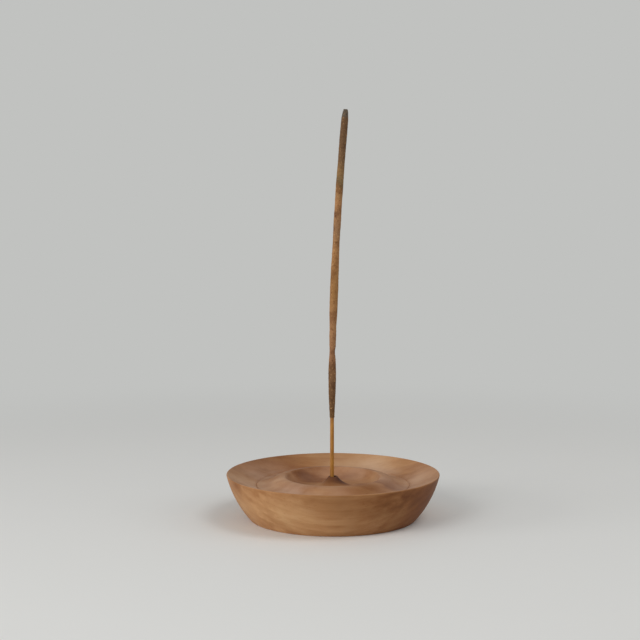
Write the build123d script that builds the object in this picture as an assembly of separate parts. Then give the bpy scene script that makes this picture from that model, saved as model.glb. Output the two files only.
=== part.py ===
from build123d import *
import math
import os

# Lengths are in millimetres, angles in degrees. The dish is turned about the vertical Z axis,
# it stands on z = 0, and the stick bows towards +X.

# Dish, outside
dish_diameter = 108.0
dish_height = 22.8
base_diameter = 84.2
lip_radius = 0.4
wall_lean_angle = 14.0  # from upright, where the wall leaves the lip
base_edge_radius = 0.8
chuck_recess_diameter = 54.0
chuck_recess_depth = 2.0

# Dish, inside: every depth is measured down from the rim
rim_slope_angle = 26.0  # from level, where the slope leaves the lip
crease_diameter = 77.8
crease_depth = 5.7
crease_groove_width = 0.9
crease_groove_depth = 0.5
crest_diameter = 50.0
crest_depth = 1.6
valley_outer_diameter = 33.0
valley_inner_diameter = 24.0
valley_depth = 6.8
peak_depth = 1.7
outer_flank_turn_share = 0.6  # where the flank changes from hollow to round
inner_flank_turn_share = 0.85

# Stick socket in the peak, bored loose for thick and thin sticks
socket_clearance = 0.6
stick_gap = 0.1  # between the bore's left side and the stick that stands against it
socket_floor_thickness = 4.0
mouth_flare = 0.3
peak_land = 0.3

# Incense stick
splint_diameter = 2.0
stick_length = 200.0
straight_length = 54.2
bow_radius = 1600.0
bare_splint_length = 30.2  # what shows between the dish and the paste
paste_thickness = 0.8
paste_tip_cover = 1.5

# Hand-rolled paste: place along the coat, then thickness, from the bare splint to the tip
paste_shares = [
    (0.00, 0.25),
    (0.03, 0.50),
    (0.085, 1.00),
    (0.15, 1.18),
    (0.19, 0.84),
    (0.215, 0.62),
    (0.267, 0.92),
    (0.293, 0.82),
    (0.345, 1.25),
    (0.423, 1.36),
    (0.50, 1.15),
    (0.57, 0.86),
    (0.64, 1.08),
    (0.70, 0.95),
    (0.76, 1.10),
    (0.82, 0.90),
    (0.91, 1.02),
    (0.97, 0.92),
    (1.00, 0.30),
]

# Worked out from the sizes above
splint_radius = splint_diameter / 2
socket_radius = splint_radius + socket_clearance
stick_offset = socket_clearance - stick_gap
socket_floor_z = chuck_recess_depth + socket_floor_thickness
peak_z = dish_height - peak_depth
paste_start = peak_z - socket_floor_z + bare_splint_length
paste_length = stick_length - paste_start


def ogee(low, high, turn_share):
    """Two arcs that leave both points level and meet without a kink."""
    turn = low + (high - low) * turn_share
    outward = Vector(math.copysign(1, high.X - low.X), 0)
    return TangentArc(low, turn, tangent=outward) + TangentArc(high, turn, tangent=-outward)


def inside_of_dish(lip_start):
    """Ripple profile from the lip, over the ring and its valley, to the peak's edge."""
    crease_radius = crease_diameter / 2
    crease_z = dish_height - crease_depth
    groove_out = Vector(crease_radius + crease_groove_width / 2, crease_z)
    groove_low = Vector(crease_radius, crease_z - crease_groove_depth)
    groove_in = Vector(crease_radius - crease_groove_width / 2, crease_z)
    crest = Vector(crest_diameter / 2, dish_height - crest_depth)
    valley_z = dish_height - valley_depth
    valley_out = Vector(valley_outer_diameter / 2, valley_z)
    valley_in = Vector(valley_inner_diameter / 2, valley_z)
    peak_edge = Vector(socket_radius + mouth_flare + peak_land, peak_z)

    slope = math.radians(rim_slope_angle)
    inward = Vector(-math.cos(slope), -math.sin(slope))
    profile = TangentArc(lip_start, groove_out, tangent=inward)
    profile += Polyline(groove_out, groove_low, groove_in)
    profile += ogee(groove_in, crest, outer_flank_turn_share)
    profile += ogee(valley_out, crest, inner_flank_turn_share)
    profile += Line(valley_out, valley_in)
    profile += TangentArc(valley_in, peak_edge, tangent=Vector(-1, 0))
    return profile, peak_edge


def make_dish():
    lip_centre = Vector(dish_diameter / 2 - lip_radius, dish_height - lip_radius)
    slope = math.radians(rim_slope_angle)
    lean = math.radians(wall_lean_angle)
    lip_in = lip_centre + Vector(-math.sin(slope), math.cos(slope)) * lip_radius
    lip_top = lip_centre + Vector(math.sin(lean), math.cos(lean)) * lip_radius
    lip_out = lip_centre + Vector(math.cos(lean), -math.sin(lean)) * lip_radius
    base_edge = Vector(base_diameter / 2, 0)

    inside, peak_edge = inside_of_dish(lip_in)
    lip = ThreePointArc(lip_in, lip_top, lip_out)
    wall = TangentArc(lip_out, base_edge, tangent=Vector(-math.sin(lean), -math.cos(lean)))
    underside = Polyline(
        base_edge,
        (chuck_recess_diameter / 2, 0),
        (chuck_recess_diameter / 2, chuck_recess_depth),
        (0, chuck_recess_depth),
        (0, socket_floor_z),
    )
    socket = Polyline(
        (0, socket_floor_z),
        (socket_radius, socket_floor_z),
        (socket_radius, peak_z - mouth_flare),
        (socket_radius + mouth_flare, peak_z),
        peak_edge,
    )
    section = make_face(inside + lip + wall + underside + socket)
    base_corner = section.vertices().sort_by_distance(base_edge)[0]
    section = fillet(base_corner, base_edge_radius)
    return revolve(Plane.XZ * section, Axis.Z)


def stick_plane(distance):
    """Plane square to the stick, this far along it from its foot."""
    turn = max(0, distance - straight_length) / bow_radius
    rise = min(distance, straight_length) + bow_radius * math.sin(turn)
    lean = bow_radius * (1 - math.cos(turn))
    return Plane(
        origin=(lean - stick_offset, 0, socket_floor_z + rise),
        x_dir=(math.cos(turn), 0, -math.sin(turn)),
        z_dir=(math.sin(turn), 0, math.cos(turn)),
    )


def make_splint():
    foot = stick_plane(0)
    bend = stick_plane(straight_length)
    tip = stick_plane(stick_length - paste_tip_cover)
    path = Line(foot.origin, bend.origin) + TangentArc(bend.origin, tip.origin, tangent=bend.z_dir)
    return sweep(foot * Circle(splint_radius), path=path)


def make_paste(splint):
    sections = [
        stick_plane(paste_start + paste_length * place_share)
        * Circle(splint_radius + paste_thickness * thickness_share)
        for place_share, thickness_share in paste_shares
    ]
    return loft(sections, ruled=True) - splint


os.makedirs("parts", exist_ok=True)
splint = make_splint()
export_step(make_dish(), "parts/turned_dish.step")
export_step(splint, "parts/bamboo_splint.step")
export_step(make_paste(splint), "parts/incense_paste.step")
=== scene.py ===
import bpy
import math
from mathutils import Euler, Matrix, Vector
from mathutils.bvhtree import BVHTree
from mathutils.geometry import intersect_point_line


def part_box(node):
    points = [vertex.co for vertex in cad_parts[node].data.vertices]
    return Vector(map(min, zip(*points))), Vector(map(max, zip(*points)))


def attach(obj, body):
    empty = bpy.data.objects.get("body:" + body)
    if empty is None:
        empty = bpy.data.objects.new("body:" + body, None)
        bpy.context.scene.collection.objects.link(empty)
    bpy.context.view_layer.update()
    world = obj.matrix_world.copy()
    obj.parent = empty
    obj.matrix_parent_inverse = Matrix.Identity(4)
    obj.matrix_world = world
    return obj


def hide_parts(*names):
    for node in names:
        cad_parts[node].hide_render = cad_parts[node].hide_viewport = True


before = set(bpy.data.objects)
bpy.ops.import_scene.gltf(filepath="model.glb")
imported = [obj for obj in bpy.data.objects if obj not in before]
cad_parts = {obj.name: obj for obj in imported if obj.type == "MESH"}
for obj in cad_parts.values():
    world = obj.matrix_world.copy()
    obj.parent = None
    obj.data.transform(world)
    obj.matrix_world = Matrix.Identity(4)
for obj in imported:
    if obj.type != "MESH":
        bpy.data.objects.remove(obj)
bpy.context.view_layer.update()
print("frame loaded:", sorted(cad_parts))


# Node helpers

def plug(tree, node, inputs):
    for key, value in inputs.items():
        if isinstance(value, bpy.types.NodeSocket):
            tree.links.new(value, node.inputs[key])
        else:
            node.inputs[key].default_value = value


def addNode(tree, kind, inputs=None, **settings):
    node = tree.nodes.new(kind)
    for key, value in settings.items():
        setattr(node, key, value)
    plug(tree, node, inputs or {})
    return node


def calc(tree, operation, first, second=0.0):
    return addNode(tree, "ShaderNodeMath", {0: first, 1: second}, operation=operation).outputs[0]


def swing(tree, value, amount):
    # a value about a half becomes a change about zero
    return calc(tree, "MULTIPLY", calc(tree, "SUBTRACT", value, 0.5), amount)


def vectorCalc(tree, operation, first, second=(0, 0, 0)):
    node = addNode(tree, "ShaderNodeVectorMath", {0: first, 1: second}, operation=operation)
    return node.outputs["Value" if operation == "LENGTH" else "Vector"]


def scaleVector(tree, vector, factor):
    node = addNode(tree, "ShaderNodeVectorMath", {0: vector, "Scale": factor}, operation="SCALE")
    return node.outputs["Vector"]


def splitVector(tree, vector):
    return addNode(tree, "ShaderNodeSeparateXYZ", {0: vector}).outputs


def joinVector(tree, x, y, z):
    return addNode(tree, "ShaderNodeCombineXYZ", {0: x, 1: y, 2: z}).outputs[0]


def distance(tree, place, middle, stretch=(1, 1, 1)):
    offset = vectorCalc(tree, "SUBTRACT", place, middle)
    return vectorCalc(tree, "LENGTH", vectorCalc(tree, "MULTIPLY", offset, stretch))


def noise(tree, vector, scale, detail=2.0, roughness=0.5):
    inputs = {"Vector": vector, "Scale": scale, "Detail": detail, "Roughness": roughness}
    return addNode(tree, "ShaderNodeTexNoise", inputs).outputs[0]


def remap(tree, value, low, high):
    # 0 at low, 1 at high and an eased slope between
    inputs = {"Value": value, "From Min": low, "From Max": high}
    return addNode(tree, "ShaderNodeMapRange", inputs, interpolation_type="SMOOTHSTEP").outputs[0]


def mixColour(tree, factor, first, second, mode="MIX"):
    inputs = {0: factor, 6: first, 7: second}  # the colour sockets of a Mix node
    return addNode(tree, "ShaderNodeMix", data_type="RGBA", blend_type=mode, inputs=inputs).outputs[2]


def colourRamp(tree, factor, stops):
    node = addNode(tree, "ShaderNodeValToRGB", {0: factor})
    elements = node.color_ramp.elements
    while len(elements) < len(stops):
        elements.new(1.0)
    for element, (place, colour) in zip(elements, stops):
        element.position = place
        element.color = colour
    return node.outputs[0]


def newTree(name, kind, inputs, outputs):
    tree = bpy.data.node_groups.new(name, kind)
    for label, socketType in inputs:
        tree.interface.new_socket(label, in_out="INPUT", socket_type="NodeSocket" + socketType)
    for label, socketType in outputs:
        tree.interface.new_socket(label, in_out="OUTPUT", socket_type="NodeSocket" + socketType)
    given = tree.nodes.new("NodeGroupInput").outputs
    result = tree.nodes.new("NodeGroupOutput")
    return tree, given, result


def useGroup(tree, group, inputs):
    return addNode(tree, "ShaderNodeGroup", inputs, node_tree=group).outputs


def paint(red, green, blue):
    # screen colour, 0 to 255, as the linear colour that the sockets take
    def toLinear(level):
        share = level / 255
        return share / 12.92 if share <= 0.04045 else ((share + 0.055) / 1.055) ** 2.4
    return (toLinear(red), toLinear(green), toLinear(blue), 1.0)


def newMaterial(name):
    material = bpy.data.materials.new(name)
    material.use_nodes = True
    tree = material.node_tree
    place = addNode(tree, "ShaderNodeTexCoord").outputs["Object"]
    return material, tree, tree.nodes["Principled BSDF"], place


def addBump(tree, shader, height, strength, depth):
    inputs = {"Height": height, "Strength": strength, "Distance": depth}
    bump = addNode(tree, "ShaderNodeBump", inputs)
    plug(tree, shader, {"Normal": bump.outputs[0]})


# Shared finishes

grain = {
    "broadScale": 0.22,  # broad streaks, beside fine ones at a scale of 1
    "broadDetail": 3.0,
    "broadRoughness": 0.55,
    "broadShare": 0.6,
    "fineDetail": 2.0,
    "fineRoughness": 0.6,
    "poreStretch": (4.0, 2.2, 2.2),  # pores are shorter and thinner than streaks
    "poreEdge": (0.64, 0.74),
}


def makeFibres():
    # streaks that run along X, as wide and as long as asked
    tree, given, result = newTree(
        "fibres", "ShaderNodeTree",
        [("Vector", "Vector"), ("Length", "Float"), ("Width", "Float")],
        [("Streaks", "Float"), ("Pores", "Float")])
    along = calc(tree, "DIVIDE", 1.0, given["Length"])
    across = calc(tree, "DIVIDE", 1.0, given["Width"])
    drawn = vectorCalc(tree, "MULTIPLY", given["Vector"], joinVector(tree, along, across, across))
    broad = noise(tree, drawn, grain["broadScale"], grain["broadDetail"], grain["broadRoughness"])
    fine = noise(tree, drawn, 1.0, grain["fineDetail"], grain["fineRoughness"])
    streaks = calc(
        tree, "ADD", calc(tree, "MULTIPLY", broad, grain["broadShare"]),
        calc(tree, "MULTIPLY", fine, 1 - grain["broadShare"]))
    dashes = noise(tree, vectorCalc(tree, "MULTIPLY", drawn, grain["poreStretch"]), 1.0, 1.0)
    plug(tree, result, {"Streaks": streaks, "Pores": remap(tree, dashes, *grain["poreEdge"])})
    return tree


clouds = {
    "detail": 4.0,
    "roughness": 0.55,
    "span": (0.28, 0.72),  # the noise's own levels that become 0 and 1
}


def makeMottle():
    # slow, cloudy change of tone, from 0 to 1 about a half
    tree, given, result = newTree(
        "mottle", "ShaderNodeTree", [("Vector", "Vector"), ("Size", "Float")], [("Tone", "Float")])
    scale = calc(tree, "DIVIDE", 1.0, given["Size"])
    cloud = noise(tree, given["Vector"], scale, clouds["detail"], clouds["roughness"])
    plug(tree, result, {"Tone": remap(tree, cloud, *clouds["span"])})
    return tree


def makeBand():
    # 1 where the value is at the centre, down to 0 at the reach on either side
    tree, given, result = newTree(
        "band", "ShaderNodeTree",
        [("Value", "Float"), ("Centre", "Float"), ("Reach", "Float")], [("Mask", "Float")])
    away = calc(tree, "ABSOLUTE", calc(tree, "SUBTRACT", given["Value"], given["Centre"]))
    plug(tree, result, {"Mask": remap(tree, away, given["Reach"], 0.0)})
    return tree


fibres = makeFibres()
mottle = makeMottle()
band = makeBand()


def fade(tree, value, reach, centre=0.0):
    return useGroup(tree, band, {"Value": value, "Centre": centre, "Reach": reach})["Mask"]


# Reading the frame and making meshes

rayGap = 0.001  # rays start this far outside a node
seamGap = 0.00001  # and run this far beside the mesh's own seam
endFace = 0.0003  # a leaning stick's end faces lie within this height


def surfaceOf(node):
    return BVHTree.FromObject(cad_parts[node], bpy.context.evaluated_depsgraph_get())


def between(start, end, step):
    count = math.ceil(abs(end - start) / step)
    return [start + (end - start) * index / count for index in range(count + 1)]


def addObject(name, data):
    added = bpy.data.objects.new(name, data)
    bpy.context.scene.collection.objects.link(added)
    return added


def addLine(name, points, attribute, values):
    # mesh line with one number for each point, for a node tree to work on
    mesh = bpy.data.meshes.new(name)
    mesh.from_pydata(points, [(index, index + 1) for index in range(len(points) - 1)], [])
    mesh.attributes.new(attribute, "FLOAT", "POINT").data.foreach_set("value", values)
    return addObject(name, mesh)


def readAttribute(tree, name):
    return addNode(tree, "GeometryNodeInputNamedAttribute", {"Name": name}, data_type="FLOAT").outputs[0]


def shadeCrisp(tree, body, angle):
    # smooth shading that breaks at edges sharper than the angle
    edge = addNode(tree, "GeometryNodeInputMeshEdgeAngle").outputs[0]
    crisp = addNode(tree, "FunctionNodeCompare", {0: edge, 1: angle}, operation="GREATER_THAN")
    body = addNode(tree, "GeometryNodeSetShadeSmooth", {"Geometry": body.outputs[0]}, domain="FACE")
    return addNode(
        tree, "GeometryNodeSetShadeSmooth",
        {"Geometry": body.outputs[0], "Selection": crisp.outputs[0], "Shade Smooth": False}, domain="EDGE")


def closeTree(tree, result, body, finish):
    body = addNode(tree, "GeometryNodeRealizeInstances", {"Geometry": body.outputs[0]})
    body = addNode(tree, "GeometryNodeSetMaterial", {"Geometry": body.outputs[0], "Material": finish})
    plug(tree, result, {0: body.outputs[0]})


def settleNodes(piece, tree, values):
    # runs the tree on the piece and keeps the result as its plain mesh
    modifier = piece.modifiers.new(tree.name, "NODES")
    modifier.node_group = tree
    for socket in tree.interface.items_tree:
        key = socket.name[0].lower() + socket.name[1:].replace(" ", "")  # Ridge Pitch is ridgePitch
        if socket.in_out == "INPUT" and key in values:
            modifier[socket.identifier] = values[key]
    evaluated = piece.evaluated_get(bpy.context.evaluated_depsgraph_get())
    mesh = bpy.data.meshes.new_from_object(evaluated)
    piece.modifiers.clear()
    piece.data = mesh
    mesh.name = piece.name
    print(piece.name, "made:", len(mesh.vertices), "points,", len(mesh.polygons), "faces")


# Turned dish

dish = {
    "castStep": 0.00005,  # spacing of the rays that read the section
    "edgeTurn": 0.0003,  # upright rays give way to level ones this far inside the edge
    "thinning": 0.000003,  # points nearer than this to the line of their neighbours are dropped
    "cornerAngle": math.radians(40),  # sharper turns of the section stay corners
    "spanPoints": 4,
    "segments": 256,
    "weldGap": 0.000001,
    "ridgePitch": 0.0026,  # faint ridges left by the gouge
    "ridgeDepth": 0.000012,
    "driftScale": 60.0,
    "driftTurns": 3.0,  # the ridges wander by up to this many pitches
    "waverSize": 0.03,
    "waverDepth": 0.00012,
    "footLow": 0.003,  # the foot stays flat, and the ridges grow between these heights
    "footHigh": 0.006,
    "crispAngle": math.radians(35),  # sharper edges aren't smoothed
}


def thinOut(points, tolerance):
    first, last = points[0], points[-1]
    gaps = [(point - intersect_point_line(point, first, last)[0]).length for point in points[1:-1]]
    if not gaps or max(gaps) < tolerance:
        return [first, last]
    worst = gaps.index(max(gaps)) + 1
    return thinOut(points[:worst + 1], tolerance) + thinOut(points[worst:], tolerance)[1:]


def readSection(node):
    # the dish's half section, from the socket's floor over the rim to the middle of the underside
    surface = surfaceOf(node)
    low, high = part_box(node)

    def hit(x, z, direction):
        point = surface.ray_cast(Vector((x, seamGap, z)), Vector(direction))[0]
        return Vector((math.hypot(point.x, point.y), 0, point.z))

    step, turn = dish["castStep"], dish["edgeTurn"]
    upper = [hit(x, high.z + rayGap, (0, 0, -1)) for x in between(0, high.x - turn, step)]
    outer = [hit(high.x + rayGap, z, (-1, 0, 0)) for z in between(upper[-1].z, low.z + turn, step)]
    under = [hit(x, low.z - rayGap, (0, 0, 1)) for x in between(outer[-1].x, 0, step)]
    points = thinOut(upper + outer + under, dish["thinning"])
    points[0].x = points[-1].x = 0
    return points


def cornersOf(points):
    corners = [1.0]
    for before, point, after in zip(points, points[1:], points[2:]):
        corners.append(float((point - before).angle(after - point) > dish["cornerAngle"]))
    return corners + [1.0]


def makeLathe():
    tree, given, result = newTree(
        "lathe", "GeometryNodeTree",
        [("Section", "Geometry"), ("Span Points", "Int"), ("Segments", "Int"), ("Weld Gap", "Float"),
         ("Ridge Pitch", "Float"), ("Ridge Depth", "Float"), ("Drift Scale", "Float"),
         ("Drift Turns", "Float"), ("Waver Size", "Float"), ("Waver Depth", "Float"),
         ("Foot Low", "Float"), ("Foot High", "Float"), ("Crisp Angle", "Float"), ("Finish", "Material")],
        [("Dish", "Geometry")])
    # the section becomes a smooth line that keeps its corners
    smooth = addNode(
        tree, "FunctionNodeCompare", {0: readAttribute(tree, "corner"), 1: 0.5}, operation="LESS_THAN")
    line = addNode(tree, "GeometryNodeMeshToCurve", {"Mesh": given["Section"]})
    line = addNode(tree, "GeometryNodeCurveSplineType", {"Curve": line.outputs[0]}, spline_type="BEZIER")
    line = addNode(
        tree, "GeometryNodeCurveSetHandles", {"Curve": line.outputs[0], "Selection": smooth.outputs[0]},
        handle_type="AUTO")
    line = addNode(
        tree, "GeometryNodeSetSplineResolution",
        {"Geometry": line.outputs[0], "Resolution": given["Span Points"]})
    points = addNode(tree, "GeometryNodeCurveToPoints", {"Curve": line.outputs[0]}, mode="EVALUATED")
    count = addNode(
        tree, "GeometryNodeAttributeDomainSize", {"Geometry": points.outputs[0]}, component="POINTCLOUD")

    # a grid is rolled round Z, one row for each point of the line
    columns = calc(tree, "ADD", given["Segments"], 1)
    grid = addNode(
        tree, "GeometryNodeMeshGrid", {"Vertices X": count.outputs[0], "Vertices Y": columns})
    index = addNode(tree, "GeometryNodeInputIndex").outputs[0]
    row = calc(tree, "FLOOR", calc(tree, "DIVIDE", calc(tree, "ADD", index, 0.5), columns))
    column = calc(tree, "SUBTRACT", index, calc(tree, "MULTIPLY", row, columns))
    position = addNode(tree, "GeometryNodeInputPosition").outputs[0]
    sample = addNode(
        tree, "GeometryNodeSampleIndex",
        {"Geometry": points.outputs[0], "Value": position, "Index": row}, data_type="FLOAT_VECTOR")
    radius, _, height = splitVector(tree, sample.outputs[0])
    angle = calc(tree, "MULTIPLY", calc(tree, "DIVIDE", column, given["Segments"]), math.tau)
    rolled = joinVector(
        tree, calc(tree, "MULTIPLY", radius, calc(tree, "COSINE", angle)),
        calc(tree, "MULTIPLY", radius, calc(tree, "SINE", angle)), height)
    body = addNode(tree, "GeometryNodeSetPosition", {"Geometry": grid.outputs[0], "Position": rolled})
    body = addNode(
        tree, "GeometryNodeMergeByDistance", {"Geometry": body.outputs[0], "Distance": given["Weld Gap"]})

    # gouge ridges and the slow waver of hand work
    normal = addNode(tree, "GeometryNodeInputNormal").outputs[0]
    x, y, z = splitVector(tree, position)
    around = vectorCalc(tree, "LENGTH", joinVector(tree, x, y, 0.0))
    travel = calc(tree, "DIVIDE", calc(tree, "ADD", around, z), given["Ridge Pitch"])
    drift = calc(tree, "MULTIPLY", noise(tree, position, given["Drift Scale"]), given["Drift Turns"])
    ridge = calc(tree, "SINE", calc(tree, "MULTIPLY", calc(tree, "ADD", travel, drift), math.tau))
    slow = noise(tree, position, calc(tree, "DIVIDE", 1.0, given["Waver Size"]), 1.0)
    lift = calc(
        tree, "ADD", calc(tree, "MULTIPLY", ridge, given["Ridge Depth"]),
        swing(tree, slow, given["Waver Depth"]))
    clear = remap(tree, z, given["Foot Low"], given["Foot High"])
    offset = scaleVector(tree, normal, calc(tree, "MULTIPLY", lift, clear))
    body = addNode(tree, "GeometryNodeSetPosition", {"Geometry": body.outputs[0], "Offset": offset})
    closeTree(tree, result, shadeCrisp(tree, body, given["Crisp Angle"]), given["Finish"])
    return tree


wood = {
    "tones": [
        (0.0, paint(90, 45, 17)),
        (0.16, paint(110, 64, 29)),
        (0.38, paint(136, 88, 48)),
        (0.60, paint(164, 118, 76)),
        (0.82, paint(187, 145, 102)),
        (1.0, paint(206, 169, 126)),
    ],
    "baseTone": 0.60,
    # paler and darker patches, partly the blank's own figure and partly painted light and shade: middle,
    # reach, change of tone
    "wallPatches": [
        ((-0.020, -0.044, 0.011), 0.020, 0.27),
        ((-0.014, -0.044, 0.003), 0.016, 0.14),
        ((0.018, -0.041, 0.003), 0.016, 0.20),
        # painted shade at the top of the wall on the left
        ((-0.047, -0.026, 0.022), 0.014, -0.16),
        ((-0.034, -0.042, 0.022), 0.012, -0.15),
        ((-0.042, -0.025, 0.008), 0.020, 0.28),
        # darker right side of the wall, partly painted shade
        ((0.047, -0.022, 0.014), 0.040, -0.41),
        ((0.018, -0.048, 0.018), 0.016, -0.12),
        ((0.031, -0.042, 0.018), 0.008, -0.10),
    ],
    "insidePatches": [
        # painted light on the lit slope at the back right
        ((0.028, 0.042, 0.021), 0.030, 0.30),
        ((-0.036, 0.038, 0.021), 0.038, -0.14),
        # painted shade on the left of the trough
        ((-0.0118, 0.0155, 0.018), 0.009, -0.34),
        ((-0.008, 0.027, 0.021), 0.010, -0.15),
        ((0.019, 0.008, 0.019), 0.008, 0.15),
        ((0.040, 0.006, 0.019), 0.014, 0.10),
        ((-0.040, 0.000, 0.019), 0.016, 0.12),
        ((-0.019, 0.012, 0.020), 0.006, 0.12),
        ((-0.030, -0.012, 0.019), 0.010, 0.09),
        ((-0.019, -0.026, 0.020), 0.010, -0.12),
        ((0.012, -0.028, 0.020), 0.017, -0.14),
        ((-0.009, -0.030, 0.020), 0.012, 0.12),
        ((0.030, -0.012, 0.019), 0.010, -0.22),
        # painted shade on the cone's right flank
        ((0.0055, 0.000, 0.019), 0.0058, -0.60),
        ((0.015, 0.0045, 0.016), 0.0035, -0.28),
        ((0.006, 0.018, 0.017), 0.007, -0.20),
        ((0.025, -0.020, 0.0193), 0.009, -0.14),
        ((-0.0168, 0.005, 0.0163), 0.006, -0.10),
    ],
    "patchStretch": (0.6, 1.0, 1.0),  # patches lie along the grain
    "frayStretch": (0.2, 1.0, 1.0),
    "frayScale": 220.0,
    "frayAmount": 1.7,
    "wallSlope": 1.47,  # a cone this steep under the lip parts the wall from the inside
    "wallBlend": 0.0003,
    "pith": (0.0, 0.030, -0.085),  # the growth rings' centre line runs along X, under the dish
    "ringStretch": (0.05, 1.0, 1.0),
    "ringSpacing": 0.0048,
    "ringWaver": 0.010,
    "waverStretch": (0.3, 1.0, 1.0),
    "waverScale": 28.0,
    "lateWood": 0.86,  # share of a ring's width where its line is darkest
    "ringContrast": 0.04,
    "fibreLength": 0.040,
    "fibreWidth": 0.0011,
    "fibreContrast": 0.32,
    "poreContrast": 0.09,
    "mottleSize": 0.026,
    "mottleContrast": 0.15,
    "red": paint(252, 238, 226),  # tint of the redder patches
    "redSize": 0.045,
    "upperLow": 0.3,  # stain, painted shade, ash and painted sheen start between these shares of the height
    "upperHigh": 0.5,
    "scorch": paint(130, 90, 57),  # ember stain round the socket, partly painted shade on the cone
    "scorchReach": 0.0088,
    "worn": paint(178, 130, 86),
    "wornWidth": 0.0010,
    "wornAmount": 0.4,
    "ash": paint(210, 180, 160),  # pale ash dusting in the trough, partly painted sheen
    "ashRadius": 0.035,
    "ashReach": 0.030,
    "ashAmount": 0.50,
    # places without the pale ash and painted sheen: middle, reach
    "brushed": [
        ((0.016, -0.026, 0.020), 0.032),
        ((-0.014, 0.043, 0.020), 0.038),
    ],
    "roughness": 0.46,
    "fibreRoughness": 0.10,
    "mottleRoughness": 0.06,
    "specular": 0.20,
    "turningPitch": 0.0007,  # fine tool marks, in the bump alone
    "turningHeight": 0.06,
    "poreDepth": 0.5,
    "bumpStrength": 0.35,
    "bumpDistance": 0.00012,
}


def makeWood():
    material, tree, shader, place = newMaterial("oiledWood")
    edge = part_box("turned_dish")[1]
    x, y, z = splitVector(tree, place)
    radius = vectorCalc(tree, "LENGTH", joinVector(tree, x, y, 0.0))

    # growth rings, seen as lines on the wall and as ovals inside
    fromPith = vectorCalc(tree, "SUBTRACT", place, wood["pith"])
    depth = vectorCalc(tree, "LENGTH", vectorCalc(tree, "MULTIPLY", fromPith, wood["ringStretch"]))
    waver = noise(tree, vectorCalc(tree, "MULTIPLY", place, wood["waverStretch"]), wood["waverScale"])
    depth = calc(tree, "ADD", depth, calc(tree, "MULTIPLY", waver, wood["ringWaver"]))
    ring = calc(tree, "FRACT", calc(tree, "DIVIDE", depth, wood["ringSpacing"]))
    late = wood["lateWood"]
    ring = calc(tree, "MULTIPLY", remap(tree, ring, 0.0, late), remap(tree, ring, 1.0, late))

    streaks, pores = useGroup(
        tree, fibres, {"Vector": place, "Length": wood["fibreLength"], "Width": wood["fibreWidth"]})
    tone = useGroup(tree, mottle, {"Vector": place, "Size": wood["mottleSize"]})["Tone"]
    warmth = useGroup(tree, mottle, {"Vector": fromPith, "Size": wood["redSize"]})["Tone"]
    level = calc(tree, "SUBTRACT", wood["baseTone"], calc(tree, "MULTIPLY", ring, wood["ringContrast"]))
    level = calc(tree, "ADD", level, swing(tree, streaks, wood["fibreContrast"]))
    level = calc(tree, "ADD", level, swing(tree, tone, wood["mottleContrast"]))
    level = calc(tree, "SUBTRACT", level, calc(tree, "MULTIPLY", pores, wood["poreContrast"]))

    # patches of tone, partly the blank's figure and partly painted light and shade, with edges frayed along
    # the grain
    drop = calc(tree, "SUBTRACT", edge.z, z)
    cone = calc(tree, "SUBTRACT", edge.x, calc(tree, "MULTIPLY", wood["wallSlope"], drop))
    wall = remap(tree, calc(tree, "SUBTRACT", radius, cone), -wood["wallBlend"], wood["wallBlend"])
    inside = calc(tree, "SUBTRACT", 1.0, wall)
    fray = noise(tree, vectorCalc(tree, "MULTIPLY", place, wood["frayStretch"]), wood["frayScale"])
    fray = calc(tree, "ADD", 1.0, swing(tree, fray, wood["frayAmount"]))
    for patches, side in ((wood["wallPatches"], wall), (wood["insidePatches"], inside)):
        for middle, reach, change in patches:
            away = calc(tree, "MULTIPLY", distance(tree, place, middle, wood["patchStretch"]), fray)
            mask = calc(tree, "MULTIPLY", fade(tree, away, reach), side)
            level = calc(tree, "ADD", level, calc(tree, "MULTIPLY", mask, change))
    colour = colourRamp(tree, level, wood["tones"])
    colour = mixColour(tree, warmth, colour, wood["red"], "MULTIPLY")

    # stain round the socket, partly painted shade, and a rim worn by handling
    upper = remap(tree, z, edge.z * wood["upperLow"], edge.z * wood["upperHigh"])
    scorch = calc(tree, "MULTIPLY", fade(tree, radius, wood["scorchReach"]), upper)
    colour = mixColour(tree, scorch, colour, wood["scorch"], "MULTIPLY")
    rim = calc(
        tree, "MULTIPLY", remap(tree, radius, edge.x - wood["wornWidth"], edge.x),
        remap(tree, z, edge.z - wood["wornWidth"], edge.z))
    rim = calc(tree, "MULTIPLY", rim, calc(tree, "MULTIPLY", tone, wood["wornAmount"]))
    colour = mixColour(tree, rim, colour, wood["worn"])

    # pale dusting of ash on the inside, partly painted sheen, left off in places
    ash = calc(tree, "MULTIPLY", fade(tree, radius, wood["ashReach"], wood["ashRadius"]), upper)
    ash = calc(tree, "MULTIPLY", calc(tree, "MULTIPLY", ash, wood["ashAmount"]), inside)
    for middle, reach in wood["brushed"]:
        unpaled = fade(tree, distance(tree, place, middle), reach)
        ash = calc(tree, "MULTIPLY", ash, calc(tree, "SUBTRACT", 1.0, unpaled))
    colour = mixColour(tree, calc(tree, "MULTIPLY", ash, tone), colour, wood["ash"])

    rough = calc(tree, "ADD", wood["roughness"], calc(tree, "MULTIPLY", streaks, wood["fibreRoughness"]))
    rough = calc(tree, "ADD", rough, calc(tree, "MULTIPLY", tone, wood["mottleRoughness"]))
    turns = calc(tree, "DIVIDE", calc(tree, "ADD", radius, z), wood["turningPitch"])
    turning = calc(tree, "SINE", calc(tree, "MULTIPLY", turns, math.tau))
    height = calc(tree, "ADD", streaks, calc(tree, "MULTIPLY", turning, wood["turningHeight"]))
    height = calc(tree, "SUBTRACT", height, calc(tree, "MULTIPLY", pores, wood["poreDepth"]))
    plug(tree, shader, {"Base Color": colour, "Roughness": rough, "Specular IOR Level": wood["specular"]})
    addBump(tree, shader, height, wood["bumpStrength"], wood["bumpDistance"])
    return material


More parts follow.
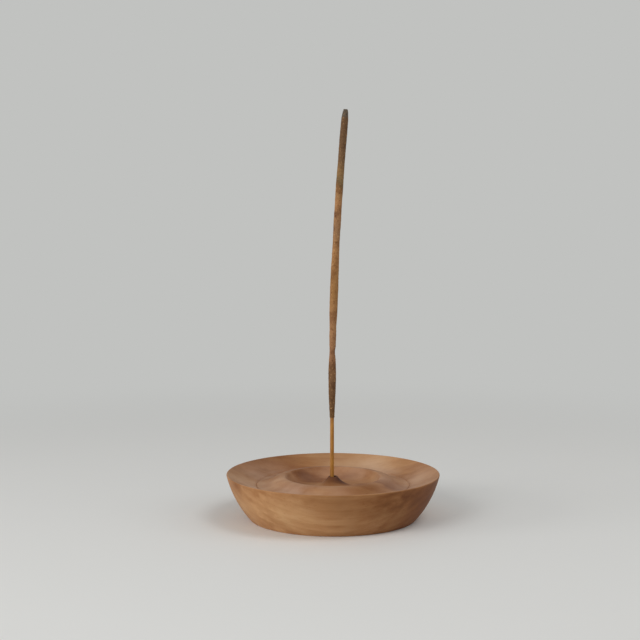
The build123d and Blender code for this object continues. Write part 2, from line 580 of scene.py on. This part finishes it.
def makeDish():
    section = readSection("turned_dish")
    piece = addLine("turnedDish", section, "corner", cornersOf(section))
    settleNodes(piece, makeLathe(), dict(dish, finish=makeWood()))
    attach(piece, "dish")
    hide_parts("turned_dish")


makeDish()


# Stick, bare splint and paste

def readStick(node, step):
    # middle and half width of the stick at even heights, its leaning end faces left out
    surface = surfaceOf(node)
    low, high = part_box(node)
    points, widths = [], []
    for z in between(low.z, high.z, step):
        level = min(max(z, low.z + endFace), high.z - endFace)
        left = surface.ray_cast(Vector((low.x - rayGap, seamGap, level)), Vector((1, 0, 0)))[0]
        right = surface.ray_cast(Vector((high.x + rayGap, seamGap, level)), Vector((-1, 0, 0)))[0]
        points.append(Vector(((left.x + right.x) / 2, 0, z)))
        widths.append((right.x - left.x) / 2)
    return points, widths


def sweepCircle(tree, given):
    # round rod along the path, as thick as the path's own girth
    path = addNode(tree, "GeometryNodeMeshToCurve", {"Mesh": given["Path"]})
    path = addNode(tree, "GeometryNodeResampleCurve", {"Curve": path.outputs[0], "Count": given["Rings"]})
    circle = addNode(
        tree, "GeometryNodeCurvePrimitiveCircle", {"Resolution": given["Sides"], "Radius": 1.0})
    return addNode(tree, "GeometryNodeCurveToMesh", {
        "Curve": path.outputs[0], "Profile Curve": circle.outputs[0],
        "Scale": readAttribute(tree, "girth"), "Fill Caps": True})


splint = {
    "step": 0.004,  # spacing of the readings along the stick
    "rings": 220,
    "sides": 20,
    "fibreStretch": (1.0, 1.0, 0.02),
    "fibreScale": 1400.0,
    "fibreDepth": 0.00005,
    "crispAngle": math.radians(50),
}


def makeRod():
    tree, given, result = newTree(
        "rod", "GeometryNodeTree",
        [("Path", "Geometry"), ("Rings", "Int"), ("Sides", "Int"), ("Fibre Stretch", "Vector"),
         ("Fibre Scale", "Float"), ("Fibre Depth", "Float"), ("Crisp Angle", "Float"),
         ("Finish", "Material")],
        [("Rod", "Geometry")])
    rod = sweepCircle(tree, given)
    position = addNode(tree, "GeometryNodeInputPosition").outputs[0]
    normal = addNode(tree, "GeometryNodeInputNormal").outputs[0]
    drawn = vectorCalc(tree, "MULTIPLY", position, given["Fibre Stretch"])
    flute = swing(tree, noise(tree, drawn, given["Fibre Scale"], 1.0), given["Fibre Depth"])
    rod = addNode(
        tree, "GeometryNodeSetPosition",
        {"Geometry": rod.outputs[0], "Offset": scaleVector(tree, normal, flute)})
    closeTree(tree, result, shadeCrisp(tree, rod, given["Crisp Angle"]), given["Finish"])
    return tree


bamboo = {
    "tones": [
        (0.25, paint(117, 72, 16)),
        (0.5, paint(163, 108, 33)),
        (0.75, paint(197, 141, 58)),
    ],
    "fibreLength": 0.020,
    "fibreWidth": 0.00030,
    "poreContrast": 0.2,
    "mottleSize": 0.008,
    "mottleContrast": 0.25,
    "roughness": 0.42,
    "fibreRoughness": 0.25,
    "bumpStrength": 0.5,
    "bumpDistance": 0.0001,
}


def makeBamboo():
    material, tree, shader, place = newMaterial("splitBamboo")
    upright = (0, math.pi / 2, 0)  # turns the fibres from X to Z
    laid = addNode(tree, "ShaderNodeMapping", {"Vector": place, "Rotation": upright}).outputs[0]
    streaks, pores = useGroup(
        tree, fibres, {"Vector": laid, "Length": bamboo["fibreLength"], "Width": bamboo["fibreWidth"]})
    tone = useGroup(tree, mottle, {"Vector": place, "Size": bamboo["mottleSize"]})["Tone"]
    level = calc(tree, "ADD", streaks, swing(tree, tone, bamboo["mottleContrast"]))
    level = calc(tree, "SUBTRACT", level, calc(tree, "MULTIPLY", pores, bamboo["poreContrast"]))
    colour = colourRamp(tree, level, bamboo["tones"])
    rough = calc(tree, "MULTIPLY", streaks, bamboo["fibreRoughness"])
    rough = calc(tree, "ADD", bamboo["roughness"], rough)
    plug(tree, shader, {"Base Color": colour, "Roughness": rough})
    addBump(tree, shader, streaks, bamboo["bumpStrength"], bamboo["bumpDistance"])
    return material


def makeSplint():
    points, widths = readStick("bamboo_splint", splint["step"])
    piece = addLine("bambooSplint", points, "girth", widths)
    settleNodes(piece, makeRod(), dict(splint, finish=makeBamboo()))
    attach(piece, "stick")
    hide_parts("bamboo_splint")


paste = {
    "step": 0.0015,  # spacing of the readings along the stick
    "tipRound": 0.0003,  # the cut tip is eased over this length
    "tipLoss": 0.45,  # share of the section that is gone at the very end
    "rings": 520,
    "sides": 36,
    "lumpSize": 0.0035,
    "lumpDepth": 0.00026,
    "crumbSize": 0.0007,
    "crumbDepth": 0.00018,
    "chipPlace": (0.0022, -0.0008, 0.0845),  # a flake broken out beside the neck
    "chipStretch": (1.0, 1.0, 0.45),  # it is longer than it is wide
    "chipReach": 0.0019,
    "chipEdge": 0.85,  # share of the reach where its edge starts
    "chipDepth": 0.00040,
    "granuleRadius": 0.00014,
    "granuleLeast": 0.5,  # granules vary between these shares of the radius
    "granuleMost": 1.3,
    "granuleDensity": 280000.0,  # for each square metre of the coat
    "seed": 7,
}


def makeCoat():
    tree, given, result = newTree(
        "coat", "GeometryNodeTree",
        [("Path", "Geometry"), ("Rings", "Int"), ("Sides", "Int"), ("Lump Size", "Float"),
         ("Lump Depth", "Float"), ("Crumb Size", "Float"), ("Crumb Depth", "Float"),
         ("Chip Place", "Vector"), ("Chip Stretch", "Vector"), ("Chip Reach", "Float"),
         ("Chip Edge", "Float"), ("Chip Depth", "Float"), ("Granule Radius", "Float"),
         ("Granule Least", "Float"), ("Granule Most", "Float"), ("Granule Density", "Float"),
         ("Seed", "Int"), ("Finish", "Material")],
        [("Coat", "Geometry")])
    coat = sweepCircle(tree, given)

    # lumps from rolling by hand, the crumbs of the powder and the flake
    position = addNode(tree, "GeometryNodeInputPosition").outputs[0]
    normal = addNode(tree, "GeometryNodeInputNormal").outputs[0]
    lump = noise(tree, position, calc(tree, "DIVIDE", 1.0, given["Lump Size"]))
    crumb = noise(tree, position, calc(tree, "DIVIDE", 1.0, given["Crumb Size"]))
    lift = calc(
        tree, "ADD", swing(tree, lump, given["Lump Depth"]), swing(tree, crumb, given["Crumb Depth"]))
    away = distance(tree, position, given["Chip Place"], given["Chip Stretch"])
    within = calc(tree, "MULTIPLY", given["Chip Reach"], given["Chip Edge"])
    chip = remap(tree, away, given["Chip Reach"], within)
    lift = calc(tree, "SUBTRACT", lift, calc(tree, "MULTIPLY", chip, given["Chip Depth"]))
    coat = addNode(
        tree, "GeometryNodeSetPosition",
        {"Geometry": coat.outputs[0], "Offset": scaleVector(tree, normal, lift)})
    coat = addNode(tree, "GeometryNodeSetShadeSmooth", {"Geometry": coat.outputs[0]})

    # loose granules pressed into the surface
    scatter = addNode(tree, "GeometryNodeDistributePointsOnFaces", {
        "Mesh": coat.outputs[0], "Density": given["Granule Density"], "Seed": given["Seed"]})
    granule = addNode(
        tree, "GeometryNodeMeshIcoSphere", {"Radius": given["Granule Radius"], "Subdivisions": 1})
    size = addNode(
        tree, "FunctionNodeRandomValue",
        {2: given["Granule Least"], 3: given["Granule Most"], "Seed": given["Seed"]})
    granules = addNode(tree, "GeometryNodeInstanceOnPoints", {
        "Points": scatter.outputs["Points"], "Instance": granule.outputs[0],
        "Rotation": scatter.outputs["Rotation"], "Scale": size.outputs[1]})
    granules = addNode(tree, "GeometryNodeRealizeInstances", {"Geometry": granules.outputs[0]})
    granules = addNode(
        tree, "GeometryNodeStoreNamedAttribute",
        {"Geometry": granules.outputs[0], "Name": "granule", "Value": 1.0}, data_type="FLOAT")
    granules = addNode(tree, "GeometryNodeSetShadeSmooth", {"Geometry": granules.outputs[0]})
    joined = addNode(tree, "GeometryNodeJoinGeometry")
    for part in (granules, coat):
        tree.links.new(part.outputs[0], joined.inputs[0])
    closeTree(tree, result, joined, given["Finish"])
    return tree


powder = {
    # place along the coat, then colour, from the bare splint to the tip
    "zones": [
        (0.00, paint(110, 80, 46)),
        (0.12, paint(118, 86, 58)),
        (0.165, paint(126, 91, 60)),
        (0.20, paint(148, 106, 74)),
        (0.34, paint(162, 119, 80)),
        (0.42, paint(154, 111, 66)),
        (0.56, paint(162, 117, 74)),
        (0.64, paint(146, 110, 78)),
        (0.73, paint(162, 116, 76)),
        (0.765, paint(152, 114, 74)),
        (0.79, paint(124, 102, 70)),
        (0.835, paint(138, 106, 68)),
        (0.87, paint(117, 88, 60)),
        (0.965, paint(105, 77, 52)),
    ],
    "zoneSlant": 0.8,  # the zones' edges rise this much across the stick
    "zoneWaver": 0.004,
    "tip": paint(92, 82, 70),  # the cut end is grey
    "tipReach": 0.0055,
    "tipFade": 0.0030,
    "dusk": paint(196, 180, 164),  # darker clouds in the paste
    "duskEdge": (0.6, 0.1),
    "duskAmount": 0.7,
    "mottleSize": 0.006,
    "granule": paint(180, 138, 92),
    "granuleAmount": 0.6,
    "fleckSize": 0.0009,
    "paleFleck": (0.62, 0.72),
    "darkFleck": (0.40, 0.30),
    "roughness": 0.75,
    "mottleRoughness": 0.15,
    "specular": 0.2,
    "bumpStrength": 0.6,
    "bumpDistance": 0.00025,
}


def makePowder():
    material, tree, shader, place = newMaterial("incensePowder")
    low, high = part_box("incense_paste")
    x, _, z = splitVector(tree, place)
    tone = useGroup(tree, mottle, {"Vector": place, "Size": powder["mottleSize"]})["Tone"]
    slant = calc(tree, "ADD", z, calc(tree, "MULTIPLY", x, powder["zoneSlant"]))
    slant = calc(tree, "ADD", slant, calc(tree, "MULTIPLY", tone, powder["zoneWaver"]))
    along = {"Value": slant, "From Min": low.z, "From Max": high.z}
    colour = colourRamp(tree, addNode(tree, "ShaderNodeMapRange", along).outputs[0], powder["zones"])
    tipStart = high.z - powder["tipReach"]
    cut = remap(tree, z, tipStart, tipStart + powder["tipFade"])
    colour = mixColour(tree, cut, colour, powder["tip"])
    cloud = calc(tree, "MULTIPLY", remap(tree, tone, *powder["duskEdge"]), powder["duskAmount"])
    colour = mixColour(tree, cloud, colour, powder["dusk"], "MULTIPLY")
    fleck = noise(tree, place, 1 / powder["fleckSize"])
    colour = mixColour(tree, remap(tree, fleck, *powder["paleFleck"]), colour, powder["granule"])
    colour = mixColour(tree, remap(tree, fleck, *powder["darkFleck"]), colour, powder["dusk"], "MULTIPLY")
    loose = addNode(tree, "ShaderNodeAttribute", attribute_name="granule").outputs["Fac"]
    loose = calc(tree, "MULTIPLY", loose, powder["granuleAmount"])
    colour = mixColour(tree, loose, colour, powder["granule"])
    rough = calc(tree, "ADD", powder["roughness"], calc(tree, "MULTIPLY", tone, powder["mottleRoughness"]))
    plug(tree, shader, {"Base Color": colour, "Roughness": rough, "Specular IOR Level": powder["specular"]})
    addBump(tree, shader, fleck, powder["bumpStrength"], powder["bumpDistance"])
    return material


def makePaste():
    points, widths = readStick("incense_paste", paste["step"])
    top = points[-1].z
    for index, point in enumerate(points):
        nearTip = max(0.0, 1 - (top - point.z) / paste["tipRound"])
        widths[index] *= math.sqrt(1 - paste["tipLoss"] * nearTip * nearTip)
    piece = addLine("incensePaste", points, "girth", widths)
    settleNodes(piece, makeCoat(), dict(paste, finish=makePowder()))
    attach(piece, "stick")
    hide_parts("incense_paste")


makeSplint()
makePaste()


# Floor, light and camera

stage = {
    "floorSize": 6.0,
    "floor": paint(234, 234, 231),
    "floorRoughness": 0.9,
    "backdrop": paint(193, 194, 192),
    "nearReach": 0.20,  # the lit floor gives way to the even backdrop between these distances
    "farReach": 0.50,
    "worldStrength": 0.34,
    "lampSize": 0.5,
    "lampDistance": 1.2,
    "lampTarget": (0, 0, 0.02),
    # name, degrees to the left of the camera, degrees up, watts
    "lamps": [
        ("window", 70, 9, 5.0),
        ("front", 40, 30, 3.8),
        ("right", -80, 30, 1.2),
        ("high", -60, 60, 2.6),
    ],
}


def seenDirectly(tree):
    # 1 for what the camera sees, itself or mirrored in a gloss
    path = addNode(tree, "ShaderNodeLightPath").outputs
    return calc(tree, "MAXIMUM", path["Is Camera Ray"], path["Is Glossy Ray"])


def makeFloor():
    half = stage["floorSize"] / 2
    corners = [(-half, -half, 0), (half, -half, 0), (half, half, 0), (-half, half, 0)]
    mesh = bpy.data.meshes.new("floor")
    mesh.from_pydata(corners, [], [(0, 1, 2, 3)])
    floor = addObject("floor", mesh)
    material, tree, shader, place = newMaterial("paleFloor")
    plug(tree, shader, {"Base Color": stage["floor"], "Roughness": stage["floorRoughness"]})
    away = remap(tree, vectorCalc(tree, "LENGTH", place), stage["nearReach"], stage["farReach"])
    even = addNode(tree, "ShaderNodeEmission", {"Color": stage["backdrop"], "Strength": 1.0})
    far = calc(tree, "MULTIPLY", away, seenDirectly(tree))
    mix = addNode(tree, "ShaderNodeMixShader", {0: far, 1: shader.outputs[0], 2: even.outputs[0]})
    plug(tree, tree.nodes["Material Output"], {"Surface": mix.outputs[0]})
    mesh.materials.append(material)


def makeLight():
    for name, azimuth, elevation, power in stage["lamps"]:
        lamp = bpy.data.lights.new(name, "AREA")
        lamp.energy = power
        lamp.size = stage["lampSize"]
        light = addObject(name, lamp)
        turn = Euler((math.radians(90 - elevation), 0, math.radians(-azimuth)))
        light.rotation_euler = turn
        arm = Vector((0, 0, stage["lampDistance"]))
        light.location = Vector(stage["lampTarget"]) + turn.to_matrix() @ arm
    world = bpy.data.worlds.new("studio")
    bpy.context.scene.world = world
    world.use_nodes = True
    tree = world.node_tree
    sky = tree.nodes["Background"]
    plug(tree, sky, {"Color": (1, 1, 1, 1), "Strength": stage["worldStrength"]})
    even = addNode(tree, "ShaderNodeBackground", {"Color": stage["backdrop"], "Strength": 1.0})
    mix = addNode(
        tree, "ShaderNodeMixShader", {0: seenDirectly(tree), 1: sky.outputs[0], 2: even.outputs[0]})
    plug(tree, tree.nodes["World Output"], {"Surface": mix.outputs[0]})


viewer = {
    "pitch": 6.04,  # degrees below level
    "lens": 90.0,
    "sensor": 36.0,
    "pictureWidth": 640,
    "rimPixel": (333.0, 472.85),  # where the rim's centre is in the picture
    "rimDistance": 0.8159,
}


def makeCamera():
    camera = addObject("camera", bpy.data.cameras.new("camera"))
    camera.data.lens = viewer["lens"]
    camera.data.sensor_width = viewer["sensor"]
    turn = Euler((math.radians(90 - viewer["pitch"]), 0, 0))
    focal = viewer["lens"] / viewer["sensor"] * viewer["pictureWidth"]
    middle = viewer["pictureWidth"] / 2
    x, y = viewer["rimPixel"]
    ray = Vector(((x - middle) / focal, (middle - y) / focal, -1)).normalized()
    rimCentre = Vector((0, 0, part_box("turned_dish")[1].z))
    camera.rotation_euler = turn
    camera.location = rimCentre - turn.to_matrix() @ ray * viewer["rimDistance"]
    bpy.context.scene.camera = camera


makeFloor()
makeLight()
makeCamera()
bpy.context.scene.view_settings.view_transform = "Standard"
print("stage, light and camera set")
